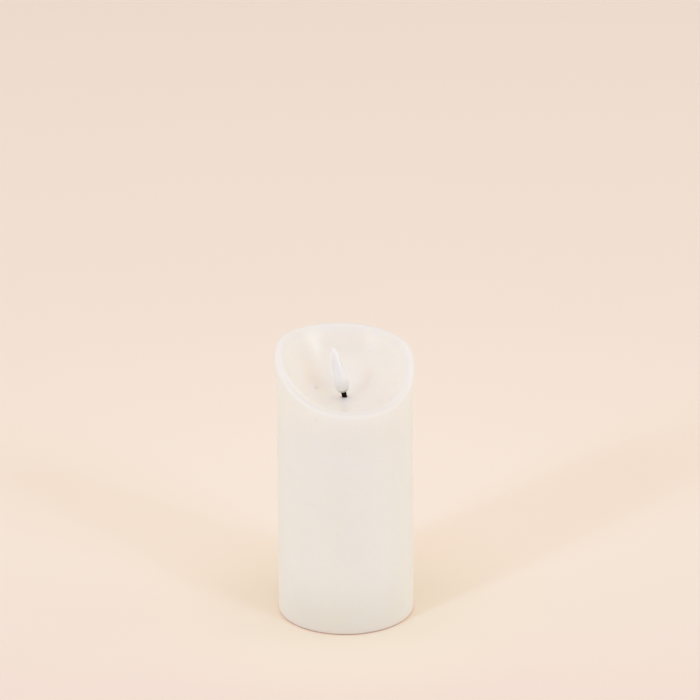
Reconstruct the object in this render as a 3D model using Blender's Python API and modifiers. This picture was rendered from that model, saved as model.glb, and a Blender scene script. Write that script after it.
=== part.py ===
"""Flameless LED pillar candle, 75 x 150 mm class, in its own frame.

Origin at the centre of the footprint, +Z up, front (the low side of the rim) towards -Y.
A cast wax pillar, hollow from below, stands on a moulded battery base. The base holds two AAA cells,
a slide switch and the circuit board; a stem carries the wick and the flame up through the wax.
Every length below is in millimetres and is turned into metres when the shapes are made.
"""

import math

import bmesh
import bpy
from mathutils import Matrix, Vector

MM = 0.001

# ---------------------------------------------------------------- wax pillar
BODY_R = 36.9          # outer radius of the straight wall
LIP_FLARE = 1.05       # how far the lip swells out below the rim
LIP_SPAN = 24.0        # height over which it swells
WAX_BOTTOM = 0.7       # wax stands this far above the table
WAX_SEGMENTS = 64
# Height of the rim's crest every 22.5 degrees, from +X anticlockwise (90 degrees is the back)
RIM_CREST = (144.7, 151.0, 151.9, 152.8, 153.6, 154.2, 154.9, 155.0,
             151.6, 145.3, 138.3, 133.3, 130.6, 130.3, 132.0, 137.1)
# Width of the rim at the same places, from the outer wall to the start of the bowl: broadest at the low front
RIM_WIDTH = (5.0, 5.0, 5.0, 5.0, 5.0, 5.0, 5.0, 5.0,
             5.0, 5.6, 6.6, 7.2, 7.4, 7.2, 6.6, 5.6)
BOWL_FLOOR = 124.0     # height of the bowl's floor
BOWL_POWER = 4.0       # how steeply the bowl turns up into its wall
MOUND = 1.2            # the wax rises this much where it meets the wick
WICK_HOLE_R = 1.9
CAVITY_ROOF = 117.4
CAVITY_R_TOP = 31.8
CAVITY_R = 33.0
SEAT_R = 34.9          # counterbore that takes the base's flange
SEAT_TOP = 1.9

# ---------------------------------------------------------------- flame and wick
LEAN = math.radians(12.3)       # the wick leans this far to the left above the wax
LEAN_START = Vector((0.0, 0.0, 124.9))
FLAME_UP = Vector((-math.sin(LEAN), 0.0, math.cos(LEAN)))
FLAME_OFFSET = 3.4              # from the bend to the flame's underside
WICK_R, WICK_BORE_R = 1.35, 0.85
WICK_FOOT = 102.2
LED_WIRE_R, LED_WIRE_STEP = 0.25, 0.41
FLAME_OUTSIDE = ((0.0, 25.8), (0.6, 25.62), (1.1, 25.15), (1.55, 24.3), (2.05, 22.4), (2.5, 19.6), (2.97, 16.2),
                 (3.42, 12.6), (3.77, 9.4), (3.96, 6.6), (3.92, 4.6), (3.62, 2.6), (3.07, 1.1), (2.5, 0.35), (2.1, 0.0))
FLAME_INSIDE = ((1.67, 0.0), (1.67, 1.9), (2.5, 2.4), (3.05, 4.0), (3.2, 6.5), (3.0, 10.0), (2.4, 15.0), (1.7, 20.0), (0.85, 23.4), (0.0, 24.6))

# ---------------------------------------------------------------- battery base
FOOT_R, FOOT_IN_R = 34.6, 32.7
DECK_LOW, DECK_HIGH = 0.8, 2.4
SKIRT_R, SKIRT_IN_R, SKIRT_TOP = 32.6, 31.3, 23.9
BAY_X = 26.6                    # half length of the battery bay
BAY_FRONT, BAY_BACK = -7.2, 15.2
BAY_WALL, BAY_CEILING = 1.4, 13.7
OPENING_X, OPENING_FRONT, OPENING_BACK = 27.8, -8.4, 16.4
PILLARS = ((-16.0, -22.2), (16.0, -22.2), (0.0, 24.5))
BOARD_POSTS = ((-13.0, 4.0), (13.0, 4.0))
SWITCH_Y = -20.0

# ---------------------------------------------------------------- cells
CELL_R, CELL_BODY, NUB_R, NUB = 5.2, 43.4, 1.9, 0.9
CELL_Z = 8.1
CELL_FRONT_Y, CELL_BACK_Y = -1.45, 9.45
CONTACT_X = 25.9                # inner face of a contact plate
GAP = 0.3                       # between pieces that rest on each other

# ---------------------------------------------------------------- moving parts
DOOR_AXIS = Vector((-26.8, 4.0, 1.5))     # the door turns about +Y through here
HOOKS_Y = (-6.7, 12.7)                    # front edge of each of the door's two hooks, 2.1 wide
KNOB_REST_X = -2.0                        # OFF; ON is 2 mm and TIMER 4 mm towards +X


for old in list(bpy.data.objects):
    bpy.data.objects.remove(old, do_unlink=True)

PARTS = bpy.data.collections.new("flameless_led_candle")
CUTTERS = bpy.data.collections.new("cutters")
bpy.context.scene.collection.children.link(PARTS)
bpy.context.scene.collection.children.link(CUTTERS)


def material(name, colour, roughness, metallic=0.0, transmission=0.0):
    made = bpy.data.materials.new(name)
    made.use_nodes = True
    shader = made.node_tree.nodes["Principled BSDF"]
    shader.inputs["Base Color"].default_value = (*colour, 1.0)
    shader.inputs["Roughness"].default_value = roughness
    shader.inputs["Metallic"].default_value = metallic
    shader.inputs["Transmission Weight"].default_value = transmission
    made.diffuse_color = (*colour, 1.0)
    return made


WAX = material("ivory_wax", (0.86, 0.81, 0.72), 0.42)
FLAME = material("frosted_flame", (0.88, 0.87, 0.88), 0.35, transmission=0.2)
BLACK = material("black_wick", (0.02, 0.016, 0.014), 0.8)
SHELL = material("ivory_plastic", (0.82, 0.79, 0.70), 0.45)
WHITE = material("white_plastic", (0.85, 0.85, 0.83), 0.4)
SWITCH_BLACK = material("switch_black", (0.02, 0.02, 0.02), 0.4)
TINPLATE = material("tinplate", (0.62, 0.62, 0.60), 0.3, 1.0)
BOARD = material("board_green", (0.03, 0.22, 0.09), 0.45)
CHIP = material("chip_black", (0.03, 0.03, 0.035), 0.55)
CAP_SLEEVE = material("capacitor_sleeve", (0.04, 0.05, 0.12), 0.35)
RESISTOR = material("resistor_body", (0.62, 0.5, 0.32), 0.5)
NICKEL = material("nickel_contact", (0.7, 0.69, 0.66), 0.25, 1.0)
CELL = material("cell_jacket", (0.18, 0.2, 0.23), 0.35, 0.3)
RED = material("wire_red", (0.5, 0.03, 0.02), 0.5)
DARK = material("wire_black", (0.02, 0.02, 0.02), 0.5)
STEEL = material("screw_steel", (0.55, 0.55, 0.55), 0.3, 1.0)
EMITTER = material("led_emitter", (0.85, 0.75, 0.35), 0.3)


def keep(obj, paint):
    """Makes obj one of the candle's pieces."""
    for collection in list(obj.users_collection):
        collection.objects.unlink(obj)
    PARTS.objects.link(obj)
    obj.data.materials.clear()
    obj.data.materials.append(paint)
    return obj


def helper(obj):
    """Makes obj a cutter, which is no piece of its own."""
    for collection in list(obj.users_collection):
        collection.objects.unlink(obj)
    CUTTERS.objects.link(obj)
    obj.hide_render = True
    obj.display_type = "WIRE"
    return obj


def from_bmesh(name, bm):
    bmesh.ops.recalc_face_normals(bm, faces=bm.faces)
    mesh = bpy.data.meshes.new(name)
    bm.to_mesh(mesh)
    bm.free()
    obj = bpy.data.objects.new(name, mesh)
    bpy.context.scene.collection.objects.link(obj)
    return obj


def box(name, x, y, z, round_r=0.0, steps=3):
    """A block between the given limits; round_r rounds its upright edges."""
    bm = bmesh.new()
    bmesh.ops.create_cube(bm, size=1.0)
    size = Vector((x[1] - x[0], y[1] - y[0], z[1] - z[0]))
    centre = Vector(((x[0] + x[1]) / 2, (y[0] + y[1]) / 2, (z[0] + z[1]) / 2))
    bmesh.ops.scale(bm, vec=size * MM, verts=bm.verts)
    bmesh.ops.translate(bm, vec=centre * MM, verts=bm.verts)
    if round_r:
        upright = [e for e in bm.edges if abs(e.verts[0].co.z - e.verts[1].co.z) > 1e-6]
        bmesh.ops.bevel(bm, geom=upright, offset=round_r * MM, segments=steps, profile=0.5, affect="EDGES")
    return from_bmesh(name, bm)


def cylinder(name, x, y, z, radius, segments=32):
    """An upright cylinder centred on (x, y) between the two heights z."""
    bm = bmesh.new()
    bmesh.ops.create_cone(bm, cap_ends=True, segments=segments, radius1=radius * MM, radius2=radius * MM, depth=(z[1] - z[0]) * MM)
    bmesh.ops.translate(bm, vec=Vector((x, y, (z[0] + z[1]) / 2)) * MM, verts=bm.verts)
    return from_bmesh(name, bm)


def turned(name, profile, steps=32, closed=False):
    """A profile of (radius, height), running down its outer side, turned about Z by a Screw modifier."""
    points = [(r * MM, 0.0, z * MM) for r, z in profile]
    edges = [(i, i + 1) for i in range(len(points) - 1)]
    if closed:
        edges.append((len(points) - 1, 0))
    mesh = bpy.data.meshes.new(name)
    mesh.from_pydata(points, edges, [])
    obj = bpy.data.objects.new(name, mesh)
    bpy.context.scene.collection.objects.link(obj)
    screw = obj.modifiers.new("turn", "SCREW")
    screw.axis = "Z"
    screw.angle = 2 * math.pi
    screw.steps = screw.render_steps = steps
    screw.use_merge_vertices = True
    screw.merge_threshold = 0.00001
    screw.use_smooth_shade = True
    return obj


def tube(name, points, radius, resolution=2):
    """A round wire along points, with filled ends."""
    data = bpy.data.curves.new(name, "CURVE")
    data.dimensions = "3D"
    data.bevel_depth = radius * MM
    data.bevel_resolution = resolution
    data.use_fill_caps = True
    spline = data.splines.new("POLY")
    spline.points.add(len(points) - 1)
    for point, at in zip(spline.points, points):
        point.co = (*(Vector(at) * MM), 1.0)
    obj = bpy.data.objects.new(name, data)
    bpy.context.scene.collection.objects.link(obj)
    return obj


def sheet_outline(name, corners, x):
    """A flat metal strip in the YZ plane with the given (y, z) corners, between the two x limits."""
    data = bpy.data.curves.new(name, "CURVE")
    data.dimensions = "2D"
    data.fill_mode = "BOTH"
    data.extrude = abs(x[1] - x[0]) / 2 * MM
    spline = data.splines.new("POLY")
    spline.points.add(len(corners) - 1)
    for point, (y, z) in zip(spline.points, corners):
        point.co = (y * MM, z * MM, 0.0, 1.0)
    spline.use_cyclic_u = True
    obj = bpy.data.objects.new(name, data)
    bpy.context.scene.collection.objects.link(obj)
    # local x -> world Y, local y -> world Z, local z -> world X
    obj.matrix_world = Matrix(((0, 0, 1, (x[0] + x[1]) / 2 * MM), (1, 0, 0, 0), (0, 1, 0, 0), (0, 0, 0, 1)))
    return obj


def as_mesh(obj):
    """Replaces a curve, or a mesh with modifiers, by the plain mesh it shows, with its caps welded."""
    bpy.context.view_layer.update()
    graph = bpy.context.evaluated_depsgraph_get()
    mesh = bpy.data.meshes.new_from_object(obj.evaluated_get(graph))
    bm = bmesh.new()
    bm.from_mesh(mesh)
    bmesh.ops.remove_doubles(bm, verts=bm.verts, dist=0.000002)
    bmesh.ops.recalc_face_normals(bm, faces=bm.faces)
    bm.to_mesh(mesh)
    bm.free()
    name, place = obj.name, obj.matrix_world.copy()
    bpy.data.objects.remove(obj, do_unlink=True)
    made = bpy.data.objects.new(name, mesh)
    made.matrix_world = place
    bpy.context.scene.collection.objects.link(made)
    return made


def combine(target, other, operation):
    """A Boolean of target with other, which becomes a helper."""
    helper(other)
    change = target.modifiers.new(operation.lower() + "_" + other.name, "BOOLEAN")
    change.operation = operation
    change.solver = "EXACT"
    change.object = other
    return target


def add(target, other):
    return combine(target, other, "UNION")


def cut(target, other):
    return combine(target, other, "DIFFERENCE")


def smooth_round(obj, degrees=35.0):
    obj.data.shade_smooth()
    obj.data.set_sharp_from_angle(angle=math.radians(degrees))
    return obj


def settle(obj, degrees=30.0):
    """Applies a piece's Booleans and keeps its edges crisp, so that it shades as it is shaped."""
    home, paint, parent = list(obj.users_collection), obj.data.materials[0], obj.parent
    inverse = obj.matrix_parent_inverse.copy()
    local = obj.matrix_basis.copy()
    made = as_mesh(obj)
    for collection in list(made.users_collection):
        collection.objects.unlink(made)
    for collection in home:
        collection.objects.link(made)
    made.data.materials.clear()
    made.data.materials.append(paint)
    if parent:
        made.parent = parent
        made.matrix_parent_inverse = inverse
    made.matrix_basis = local
    return smooth_round(made, degrees)


def ease(t):
    t = min(max(t, 0.0), 1.0)
    return t * t * (3 - 2 * t)


# ================================================================ wax pillar
def around(values, angle):
    """Value at this angle, by a periodic Catmull-Rom curve through values given at equal steps from +X."""
    n = len(values)
    place = (angle % (2 * math.pi)) / (2 * math.pi) * n
    i, t = int(place) % n, place - int(place)
    a, b, c, d = (values[(i + k) % n] for k in (-1, 0, 1, 2))
    return 0.5 * (2 * b + (c - a) * t + (2 * a - 5 * b + 4 * c - d) * t * t + (3 * b - a - 3 * c + d) * t ** 3)


def wall_radius(height, crest):
    """Outer radius of the wax: straight, then swelling into the lip."""
    return BODY_R + LIP_FLARE * ease((height - (crest - LIP_SPAN)) / (LIP_SPAN - 3.0))


def wax_section(angle):
    """The closed section of the wax at this angle, as (radius, height), up the outside and down the inside."""
    crest, width = around(RIM_CREST, angle), around(RIM_WIDTH, angle)
    section = [(35.4, WAX_BOTTOM), (36.25, 1.0), (36.75, 1.6), (BODY_R, 2.4), (BODY_R, 40.0), (BODY_R, 80.0)]
    low = crest - LIP_SPAN
    for share in (0.0, 0.3, 0.5, 0.7):
        height = low + share * (LIP_SPAN - 2.4)
        section.append((wall_radius(height, crest), height))
    lip = wall_radius(crest, crest)
    for inward, down in ((0.0, 2.4), (0.044, 1.4), (0.15, 0.58), (0.3, 0.13), (0.46, 0.0), (0.62, 0.12), (0.77, 0.5), (1.0, 1.1)):
        section.append((lip - inward * width, crest - down))
    edge_r, edge_z = lip - width, crest - 1.1
    for share in (0.95, 0.89, 0.82, 0.74, 0.65, 0.55, 0.43, 0.28, 0.15):
        section.append((edge_r * share, BOWL_FLOOR + (edge_z - BOWL_FLOOR) * share ** BOWL_POWER))
    section += [(3.6, BOWL_FLOOR + 0.2 * MOUND), (2.7, BOWL_FLOOR + 0.65 * MOUND), (WICK_HOLE_R + 0.15, BOWL_FLOOR + MOUND),
                (WICK_HOLE_R, BOWL_FLOOR + MOUND - 0.2), (WICK_HOLE_R, CAVITY_ROOF), (CAVITY_R_TOP - 2.0, CAVITY_ROOF), (CAVITY_R_TOP, CAVITY_ROOF - 2.0),
                (CAVITY_R, 30.0), (CAVITY_R, SEAT_TOP), (SEAT_R, SEAT_TOP), (SEAT_R, WAX_BOTTOM)]
    return section


def loft_around(name, section_at, segments):
    """A solid ring whose section changes with the angle."""
    bm = bmesh.new()
    rings = []
    for k in range(segments):
        angle = 2 * math.pi * k / segments
        rings.append([bm.verts.new((r * math.cos(angle) * MM, r * math.sin(angle) * MM, z * MM)) for r, z in section_at(angle)])
    for k, ring in enumerate(rings):
        following = rings[(k + 1) % segments]
        count = len(ring)
        for i in range(count):
            j = (i + 1) % count
            bm.faces.new((ring[i], following[i], following[j], ring[j]))
    return from_bmesh(name, bm)


wax_body = smooth_round(keep(loft_around("wax_body", wax_section, WAX_SEGMENTS), WAX), 50)


# ================================================================ flame, wick and light
def along_wick(distance):
    """Centre of the wick at this distance above its foot: upright in the stem, a short bend at the wax, then leaning."""
    straight = LEAN_START.z - WICK_FOOT
    bend = 1.5
    if distance <= straight - bend:
        return Vector((0.0, 0.0, WICK_FOOT + distance))
    if distance >= straight + bend:
        return LEAN_START + FLAME_UP * (distance - straight)
    t = (distance - straight + bend) / (2 * bend)
    low, high = LEAN_START - Vector((0, 0, bend)), LEAN_START + FLAME_UP * bend
    return low * (1 - t) ** 2 + LEAN_START * 2 * t * (1 - t) + high * t * t


def wick_path(start, end):
    straight = LEAN_START.z - WICK_FOOT
    stops = [start] + [straight - 1.5 + 0.75 * k for k in range(5)] + [end]
    return [along_wick(s) for s in stops]


WICK_LENGTH = LEAN_START.z - WICK_FOOT + FLAME_OFFSET + 1.4
wick_sleeve = as_mesh(tube("wick_sleeve", wick_path(0.0, WICK_LENGTH), WICK_R, 4))
bore_path = wick_path(0.0, WICK_LENGTH)
bore_path[0] = bore_path[0] - Vector((0, 0, 2))
bore_path[-1] = bore_path[-1] + FLAME_UP * 2
wick_bore = as_mesh(tube("wick_bore", bore_path, WICK_BORE_R, 4))
wick_sleeve = settle(keep(cut(wick_sleeve, wick_bore), BLACK))

FLAME_FOOT = LEAN_START + FLAME_UP * FLAME_OFFSET
FLAME_PLACE = Matrix.Translation(FLAME_FOOT * MM) @ Matrix.Rotation(-LEAN, 4, "Y")

flame_cap = keep(turned("flame_cap", FLAME_OUTSIDE + FLAME_INSIDE, 24), FLAME)
flame_cap.matrix_world = FLAME_PLACE

led_strip = keep(box("led_strip", (-0.3, 0.3), (-1.1, 1.1), (2.5, 18.3)), BOARD)
led_strip.matrix_world = FLAME_PLACE
for label, low in (("led_lower", 6.4), ("led_upper", 13.4)):
    emitter = keep(box(label, (0.6, 1.3), (-0.9, 0.9), (low, low + 2.2), 0.25, 2), EMITTER)
    emitter.matrix_world = FLAME_PLACE

# The stem: a socket for the wick at its top, a broad collar under the wax, and a plain tube down to the base
stem_tube = keep(turned("stem_tube", ((1.67, 117.1), (7.5, 117.1), (7.5, 115.1), (4.0, 110.7), (4.0, 27.6), (2.6, 27.6), (2.6, 103.7), (1.67, 105.7)), 28, closed=True), WHITE)


def led_wire(name, side, paint, pad):
    """From the flame's circuit strip, down the wick and the stem, to its pad on the board."""
    shift = Vector((0.0, side * LED_WIRE_STEP, 0.0))
    straight = LEAN_START.z - WICK_FOOT
    stops = [WICK_LENGTH + 0.7] + [straight + 1.5 - 0.75 * k for k in range(5)] + [0.0]
    path = [along_wick(s) + shift for s in stops]
    path += [Vector((0, 0, 80)) + shift, Vector((0, 0, 50)) + shift, Vector((0, 0, 29)) + shift]
    leave, arrive = path[-1], Vector((pad[0], pad[1], 19.25))
    for t in (0.2, 0.4, 0.6, 0.8):
        s = ease(t)
        path.append(Vector((leave.x + (arrive.x - leave.x) * s, leave.y + (arrive.y - leave.y) * s, leave.z + (arrive.z - leave.z) * t)))
    path.append(arrive)
    return keep(tube(name, path, LED_WIRE_R, 2), paint)


led_wire("led_wire_red", 1, RED, (3.0, 3.0))
led_wire("led_wire_black", -1, DARK, (-3.0, 3.0))

# ================================================================ battery base
base = as_mesh(turned("base_housing", (
    (0.0, DECK_HIGH), (SKIRT_IN_R, DECK_HIGH), (SKIRT_IN_R, SKIRT_TOP), (SKIRT_R, SKIRT_TOP), (SKIRT_R, 1.6),
    (FOOT_R, 1.6), (FOOT_R, 0.25), (FOOT_R - 0.25, 0.0), (FOOT_IN_R, 0.0), (FOOT_IN_R - 0.4, DECK_LOW), (0.0, DECK_LOW)), 56))
add(base, box("bay_walls", (-BAY_X - BAY_WALL, BAY_X + BAY_WALL), (BAY_FRONT - BAY_WALL, BAY_BACK + BAY_WALL), (1.5, BAY_CEILING + BAY_WALL)))
add(base, box("switch_well", (-10.4, 10.4), (SWITCH_Y - 5.2, SWITCH_Y + 5.2), (1.5, 4.7), 4.6, 4))
for k, (x, y) in enumerate(PILLARS):
    add(base, cylinder(f"boss_{k}", x, y, (1.5, 9.7), 3.5, 24))
for k, (x, y) in enumerate(BOARD_POSTS):
    add(base, cylinder(f"board_post_{k}", x, y, (14.5, 16.9), 2.3, 20))
cut(base, box("bay", (-BAY_X, BAY_X), (BAY_FRONT, BAY_BACK), (-1.0, BAY_CEILING)))
cut(base, box("door_opening", (-OPENING_X, OPENING_X), (OPENING_FRONT, OPENING_BACK), (-1.0, DECK_HIGH), 1.5, 4))
for k, low in enumerate(HOOKS_Y):
    cut(base, box(f"hook_pocket_{k}", (-29.3, -26.0), (low - GAP, low + 2.1 + GAP), (2.7, 4.95)))
cut(base, cylinder("finger_notch", 28.0, 4.0, (-1.0, 1.7), 3.9, 32))
cut(base, box("switch_dish", (-9.2, 9.2), (SWITCH_Y - 4.1, SWITCH_Y + 4.1), (-1.0, 3.3), 4.0, 5))
cut(base, box("switch_slot", (-4.2, 4.2), (SWITCH_Y - 1.85, SWITCH_Y + 1.85), (-1.0, 6.0)))
for k, (x, y) in enumerate(PILLARS):
    cut(base, cylinder(f"boss_sink_{k}", x, y, (-1.0, 3.6), 2.9, 24))
    cut(base, cylinder(f"boss_bore_{k}", x, y, (-1.0, 11.0), 1.5, 20))
for k, (x, y) in enumerate(BOARD_POSTS):
    cut(base, cylinder(f"board_post_bore_{k}", x, y, (14.7, 18.0), 1.15, 16))
for k, y in enumerate((CELL_FRONT_Y, CELL_BACK_Y)):
    cut(base, box(f"terminal_slot_{k}", (CONTACT_X - 0.4, CONTACT_X + 0.8), (y - 1.7, y + 1.7), (13.0, 16.0)))
base = settle(keep(base, SHELL))

# The lid over the electronics, with the stem's socket and the pillars that the housing screws bite into
cover = as_mesh(turned("housing_cover", (
    (4.3, 34.0), (6.4, 34.0), (6.8, 26.4), (7.4, 25.8), (32.1, 25.8), (32.4, 25.5), (32.4, 24.2), (30.9, 24.2), (30.9, 21.4),
    (29.7, 21.4), (29.7, 24.2), (2.6, 24.2), (2.6, 27.3), (4.3, 27.3)), 48, closed=True))
for k, (x, y) in enumerate(PILLARS):
    add(cover, cylinder(f"pillar_{k}", x, y, (10.0, 25.0), 2.9, 24))
for k in range(4):
    rib = box(f"socket_rib_{k}", (6.0, 15.0), (-0.6, 0.6), (25.2, 29.5))
    rib.data.transform(Matrix.Rotation(math.pi / 4 + k * math.pi / 2, 4, "Z"))
    add(cover, rib)
for k, (x, y) in enumerate(PILLARS):
    cut(cover, cylinder(f"pillar_bore_{k}", x, y, (9.0, 16.0), 1.3, 20))
cover = settle(keep(cover, WHITE))

# ---------------------------------------------------------------- battery door, turning about its hooked end
door = box("battery_door", (-27.3, 27.3), (OPENING_FRONT + GAP, OPENING_BACK - GAP), (0.9, 2.1), 2.6, 5)
for k, low in enumerate(HOOKS_Y):
    add(door, box(f"hook_post_{k}", (-26.2, -24.8), (low, low + 2.1), (1.5, 3.8)))
    add(door, box(f"hook_arm_{k}", (-28.8, -25.5), (low, low + 2.1), (3.0, 3.8)))
cut(door, box("latch_gap", (24.5, 29.0), (1.7, 6.3), (-1.0, 3.0)))
add(door, box("latch_root", (22.9, 23.9), (2.4, 5.6), (1.5, 4.2)))
add(door, box("latch_top", (23.4, 26.2), (2.4, 5.6), (3.4, 4.2)))
add(door, box("latch_leg", (25.3, 26.2), (2.4, 5.6), (1.2, 4.0)))
add(door, box("latch_pad", (24.9, 27.2), (2.1, 5.9), (0.9, 2.0)))
add(door, box("latch_barb", (25.8, 26.45), (2.7, 5.3), (2.6, 3.2)))
for k in range(3):
    add(door, box(f"grip_{k}", (18.2 + 1.5 * k, 18.9 + 1.5 * k), (-0.5, 8.5), (0.55, 1.3)))
keep(door, SHELL)
door_pivot = bpy.data.objects.new("door_pivot", None)
PARTS.objects.link(door_pivot)
door_pivot.location = DOOR_AXIS * MM
door.parent = door_pivot
door.matrix_parent_inverse = Matrix.Translation(-DOOR_AXIS * MM)
door = settle(door)

# ---------------------------------------------------------------- slide switch
knob = box("switch_knob", (-1.7, 1.7), (-1.5, 1.5), (1.3, 6.9), 0.3, 2)
for k in range(3):
    cut(knob, box(f"knob_groove_{k}", (-1.35 + k, -0.65 + k), (-3.0, 3.0), (0.5, 1.75)))
keep(knob, SWITCH_BLACK)
knob.location = Vector((KNOB_REST_X, SWITCH_Y, 0.0)) * MM
knob = settle(knob)

switch = box("switch_body", (-6.6, 6.6), (SWITCH_Y - 3.4, SWITCH_Y + 3.4), (5.0, 10.2))
for k in range(4):
    add(switch, box(f"switch_pin_{k}", (-4.9 + 3.0 * k, -4.1 + 3.0 * k), (SWITCH_Y - 0.25, SWITCH_Y + 0.25), (9.5, 12.7)))
cut(switch, box("switch_window", (-4.5, 4.5), (SWITCH_Y - 1.9, SWITCH_Y + 1.9), (4.0, 7.3)))
switch = settle(keep(switch, TINPLATE))

# ---------------------------------------------------------------- circuit board and what is on it
board = box("circuit_board", (-17.0, 17.0), (-6.0, 14.0), (17.2, 18.8), 1.2, 3)
for k, (x, y) in enumerate(BOARD_POSTS):
    cut(board, cylinder(f"board_hole_{k}", x, y, (16.0, 20.0), 1.15, 20))
board = settle(keep(board, BOARD))
BOARD_TOP = 18.8 + GAP
chip = box("flicker_chip", (-7.6, -2.6), (-4.0, 0.0), (BOARD_TOP, BOARD_TOP + 1.5))
for k in range(4):
    for label, y in (("front", (-5.0, -3.8)), ("back", (-0.2, 1.0))):
        x = -7.05 + 1.27 * k
        add(chip, box(f"chip_leg_{label}_{k}", (x - 0.2, x + 0.2), y, (BOARD_TOP + 0.1, BOARD_TOP + 0.6)))
chip = settle(keep(chip, CHIP))
keep(turned("capacitor", ((0.0, 4.9), (1.8, 4.9), (2.0, 4.7), (2.0, 0.9), (1.8, 0.7), (2.0, 0.5), (2.0, 0.0), (0.0, 0.0)), 16), CAP_SLEEVE).location = Vector((7.0, 8.5, BOARD_TOP)) * MM
resistor = keep(turned("resistor", ((0.0, 1.9), (0.25, 1.9), (0.25, 1.6), (0.75, 1.5), (0.85, 1.1), (0.7, 0.7), (0.7, -0.7), (0.85, -1.1), (0.75, -1.5),
                                    (0.25, -1.6), (0.25, -1.9), (0.0, -1.9)), 12), RESISTOR)
resistor.location = Vector((6.5, -2.0, BOARD_TOP + 0.9)) * MM
resistor.rotation_euler = (0.0, math.pi / 2, 0.0)
crystal = keep(turned("timer_crystal", ((0.0, 3.0), (0.9, 3.0), (1.0, 2.9), (1.0, -2.6), (1.1, -2.7), (1.1, -3.0), (0.0, -3.0)), 12), TINPLATE)
crystal.location = Vector((-8.0, 9.0, BOARD_TOP + 1.1)) * MM
crystal.rotation_euler = (0.0, math.pi / 2, 0.0)


# ---------------------------------------------------------------- contacts
def terminal(name, y):
    """A contact plate with its solder tab up through the bay's ceiling."""
    corners = ((y - 3.1, 5.3), (y + 3.1, 5.3), (y + 3.1, 12.6), (y + 1.3, 12.6), (y + 1.3, 17.0), (y - 1.3, 17.0), (y - 1.3, 12.6), (y - 3.1, 12.6))
    return keep(as_mesh(sheet_outline(name, corners, (CONTACT_X, CONTACT_X + 0.4))), NICKEL)


terminal("positive_plate", CELL_FRONT_Y)
terminal("negative_plate", CELL_BACK_Y)
keep(box("bridge_plate", (-CONTACT_X - 0.4, -CONTACT_X), (CELL_FRONT_Y - 3.4, CELL_BACK_Y + 3.2), (5.3, 12.6)), NICKEL)


def spring(name, y, foot_x, tip_x):
    """A conical coil along X from its contact plate to the cell's flat end."""
    turns, each, wire = 4.0, 11, 0.3
    count = int(turns * each)
    points = []
    for k in range(count + 1):
        t = k / count
        radius = 3.4 - 1.5 * t
        place = ease(t) * 0.35 + t * 0.65
        angle = 2 * math.pi * turns * t
        points.append((foot_x + (tip_x - foot_x) * place, y + radius * math.cos(angle), CELL_Z + radius * math.sin(angle)))
    return keep(tube(name, points, wire, 1), NICKEL)


PLATE_END, CELL_END = CONTACT_X - GAP - 0.3, CONTACT_X - GAP - NUB - CELL_BODY
spring("negative_spring", CELL_BACK_Y, PLATE_END, -CELL_END + GAP + 0.3)
spring("bridge_spring", CELL_FRONT_Y, -PLATE_END, CELL_END - GAP - 0.3)


# ---------------------------------------------------------------- cells
def cell(name, y, towards):
    """An AAA cell lying along X, its nub towards +X (1) or -X (-1)."""
    half = CELL_BODY / 2
    profile = ((0.0, half + NUB), (NUB_R - 0.3, half + NUB), (NUB_R, half + NUB - 0.3), (NUB_R, half), (4.6, half),
               (CELL_R, half - 0.6), (CELL_R, 0.6 - half), (CELL_R - 0.5, -half), (3.4, -half), (3.2, 0.25 - half), (0.0, 0.25 - half))
    obj = keep(turned(name, profile, 24), CELL)
    obj.location = Vector((towards * (CONTACT_X - GAP - NUB - half), y, CELL_Z)) * MM
    obj.rotation_euler = (0.0, towards * math.pi / 2, 0.0)
    return obj


cell("battery_front", CELL_FRONT_Y, 1)
cell("battery_back", CELL_BACK_Y, -1)


# ---------------------------------------------------------------- wires in the base
def smooth_path(stops, each=5):
    """A curve through the stops, read off as a run of points."""
    ends = [Vector(stops[0]) * 2 - Vector(stops[1])] + [Vector(s) for s in stops] + [Vector(stops[-1]) * 2 - Vector(stops[-2])]
    points = []
    for i in range(1, len(ends) - 2):
        a, b, c, d = ends[i - 1:i + 3]
        for k in range(each):
            t = k / each
            points.append((b * 2 + (c - a) * t + (a * 2 - b * 5 + c * 4 - d) * t * t + (b * 3 - a - c * 3 + d) * t ** 3) * 0.5)
    return points + [ends[-2]]


WIRE_R = 0.45
keep(tube("battery_wire_red", smooth_path(((25.3, CELL_FRONT_Y, 16.4), (22.6, -2.6, 16.7), (18.5, -8.5, 16.7), (11.5, -14.5, 16.4), (6.0, -18.6, 16.2), (4.5, -20.0, 13.3)), 4), WIRE_R, 2), RED)
keep(tube("battery_wire_black", smooth_path(((25.3, CELL_BACK_Y, 16.4), (22.4, 9.6, 17.2), (19.6, 9.9, 19.6), (16.6, 10.0, 20.6), (14.8, 10.0, 19.6)), 4), WIRE_R, 2), DARK)
keep(tube("switch_wire", smooth_path(((-1.5, SWITCH_Y, 13.3), (-1.6, -18.0, 17.0), (-1.2, -12.0, 20.6), (-0.3, -7.0, 21.2), (0.0, -4.4, 19.8)), 4), WIRE_R, 2), RED)


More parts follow.
